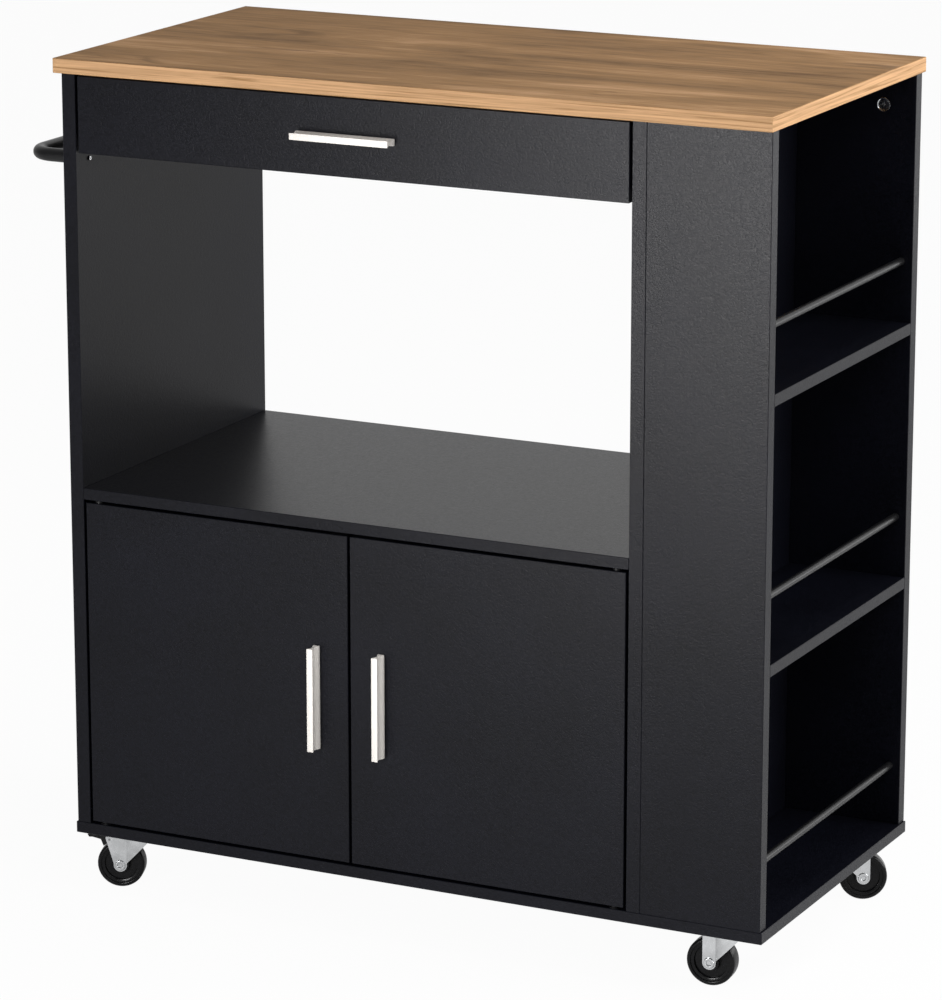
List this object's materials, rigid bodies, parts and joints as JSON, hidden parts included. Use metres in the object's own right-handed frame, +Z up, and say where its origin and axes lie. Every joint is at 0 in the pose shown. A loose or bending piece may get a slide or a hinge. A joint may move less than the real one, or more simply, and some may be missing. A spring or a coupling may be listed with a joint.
{
  "type": "kitchen cart",
  "caption": "Rolling kitchen cart: oak-look worktop, drawer over an open bay, two-door cabinet, side rack with guard rails, towel bar and swivel casters.",
  "frame": {"origin": "on the floor, under the middle of the whole outline with towel bar and handles", "axes": "+X along the worktop to the side rack, -Y out of the drawer and doors, +Z up"},
  "size_m": [0.834, 0.401, 0.88],
  "materials": {
    "oak_laminate": "satin oak-look laminate",
    "black_laminate": "satin black laminate with a fine grain",
    "drawer_board": "black melamine",
    "hardboard": "black printed hardboard",
    "black_steel": "satin black powder coat",
    "satin_aluminium": "satin anodised",
    "runner_steel": "white epoxy coat",
    "white_nylon": "moulded nylon",
    "zinc_steel": "bright zinc plate",
    "wheel_plastic": "moulded black plastic",
    "pedal_plastic": "moulded black plastic"
  },
  "bodies": {
    "carcass": {"worktop": "oak_laminate", "left_panel": "black_laminate", "divider_panel": "black_laminate", "front_filler_panel": "black_laminate", "back_filler_panel": "black_laminate", "base_board": "black_laminate", "middle_shelf": "black_laminate", "rear_rail": "black_laminate", "side_shelf_upper": "black_laminate", "side_shelf_lower": "black_laminate", "cabinet_back_panel": "hardboard", "guard_rail_lower": "black_steel", "guard_rail_middle": "black_steel", "guard_rail_upper": "black_steel", "towel_bar": "black_steel", "towel_bar_screws": "zinc_steel", "cam_locks": "zinc_steel", "cam_bolts": "zinc_steel", "base_screws": "zinc_steel", "mounting_screws": "zinc_steel", "door_pivot_bushes": "pedal_plastic", "magnetic_catch": "pedal_plastic", "runner_cabinet_left": "runner_steel", "runner_cabinet_right": "runner_steel", "caster_plate_front_left": "zinc_steel", "caster_plate_front_right": "zinc_steel", "caster_plate_back_left": "zinc_steel", "caster_plate_back_right": "zinc_steel"},
    "drawer": {"drawer_front": "black_laminate", "drawer_side_left": "drawer_board", "drawer_side_right": "drawer_board", "drawer_back": "drawer_board", "drawer_bottom": "hardboard", "drawer_handle": "satin_aluminium", "drawer_handle_screws": "zinc_steel", "drawer_runner_left": "runner_steel", "drawer_runner_right": "runner_steel"},
    "fixed_rollers": {"cabinet_rollers": "white_nylon"},
    "moving_rollers": {"drawer_rollers": "white_nylon"},
    "left_door": {"left_door": "black_laminate", "left_door_handle": "satin_aluminium", "left_door_handle_screws": "zinc_steel", "left_door_pins": "black_steel", "left_door_strike": "zinc_steel"},
    "right_door": {"right_door": "black_laminate", "right_door_handle": "satin_aluminium", "right_door_handle_screws": "zinc_steel", "right_door_pins": "black_steel", "right_door_strike": "zinc_steel"},
    "swivel_front_left": {"caster_fork_front_left": "zinc_steel"},
    "wheel_front_left": {"caster_wheel_front_left": "wheel_plastic"},
    "swivel_front_right": {"caster_fork_front_right": "zinc_steel"},
    "wheel_front_right": {"caster_wheel_front_right": "wheel_plastic"},
    "swivel_back_left": {"caster_fork_back_left": "zinc_steel"},
    "wheel_back_left": {"caster_wheel_back_left": "wheel_plastic"},
    "swivel_back_right": {"caster_fork_back_right": "zinc_steel"},
    "wheel_back_right": {"caster_wheel_back_right": "wheel_plastic"},
    "brake_front_left": {"brake_pedal_front_left": "pedal_plastic"},
    "brake_back_left": {"brake_pedal_back_left": "pedal_plastic"}
  },
  "joints": [
    {"name": "drawer_slide", "type": "slide", "parent": "carcass", "child": "drawer", "axis": [0, -1, 0], "range_m": [0, 0.26]},
    {"name": "fixed_rollers_spin", "type": "hinge", "parent": "carcass", "child": "fixed_rollers", "pos_m": [-0.036, -0.1555, 0.8074], "axis": [1, 0, 0], "range_deg": [-5, 1867]},
    {"name": "moving_rollers_spin", "type": "hinge", "parent": "drawer", "child": "moving_rollers", "pos_m": [-0.036, 0.1705, 0.8041], "axis": [1, 0, 0], "range_deg": [-5, 1867]},
    {"name": "left_door_hinge", "type": "hinge", "parent": "carcass", "child": "left_door", "pos_m": [-0.327, -0.177, 0.077], "axis": [0, 0, -1], "range_deg": [0, 120]},
    {"name": "right_door_hinge", "type": "hinge", "parent": "carcass", "child": "right_door", "pos_m": [0.255, -0.177, 0.077], "axis": [0, 0, 1], "range_deg": [0, 120]},
    {"name": "swivel_front_left_turn", "type": "hinge", "parent": "carcass", "child": "swivel_front_left", "pos_m": [-0.309, -0.1385, 0.057], "axis": [0, 0, 1], "continuous": true},
    {"name": "wheel_front_left_roll", "type": "hinge", "parent": "swivel_front_left", "child": "wheel_front_left", "pos_m": [-0.32779, -0.14534, 0.025], "axis": [0.342, -0.9397, 0], "continuous": true},
    {"name": "swivel_front_right_turn", "type": "hinge", "parent": "carcass", "child": "swivel_front_right", "pos_m": [0.365, -0.1385, 0.057], "axis": [0, 0, 1], "continuous": true},
    {"name": "wheel_front_right_roll", "type": "hinge", "parent": "swivel_front_right", "child": "wheel_front_right", "pos_m": [0.34508, -0.14024, 0.025], "axis": [0.0872, -0.9962, 0], "continuous": true},
    {"name": "swivel_back_left_turn", "type": "hinge", "parent": "carcass", "child": "swivel_back_left", "pos_m": [-0.309, 0.1545, 0.057], "axis": [0, 0, 1], "continuous": true},
    {"name": "wheel_back_left_roll", "type": "hinge", "parent": "swivel_back_left", "child": "wheel_back_left", "pos_m": [-0.32779, 0.16134, 0.025], "axis": [-0.342, -0.9397, 0], "continuous": true},
    {"name": "swivel_back_right_turn", "type": "hinge", "parent": "carcass", "child": "swivel_back_right", "pos_m": [0.365, 0.1545, 0.057], "axis": [0, 0, 1], "continuous": true},
    {"name": "wheel_back_right_roll", "type": "hinge", "parent": "swivel_back_right", "child": "wheel_back_right", "pos_m": [0.38313, 0.16295, 0.025], "axis": [-0.4226, 0.9063, 0], "continuous": true},
    {"name": "brake_front_left_press", "type": "hinge", "parent": "swivel_front_left", "child": "brake_front_left", "pos_m": [-0.33813, -0.1491, 0.053], "axis": [0.342, -0.9397, 0], "range_deg": [0, 8]},
    {"name": "brake_back_left_press", "type": "hinge", "parent": "swivel_back_left", "child": "brake_back_left", "pos_m": [-0.33813, 0.1651, 0.053], "axis": [-0.342, -0.9397, 0], "range_deg": [0, 8]}
  ],
  "couplings": [
    {"joint": "fixed_rollers_spin", "follows": "drawer_slide", "rad_per_m": 125},
    {"joint": "moving_rollers_spin", "follows": "drawer_slide", "rad_per_m": 125}
  ]
}
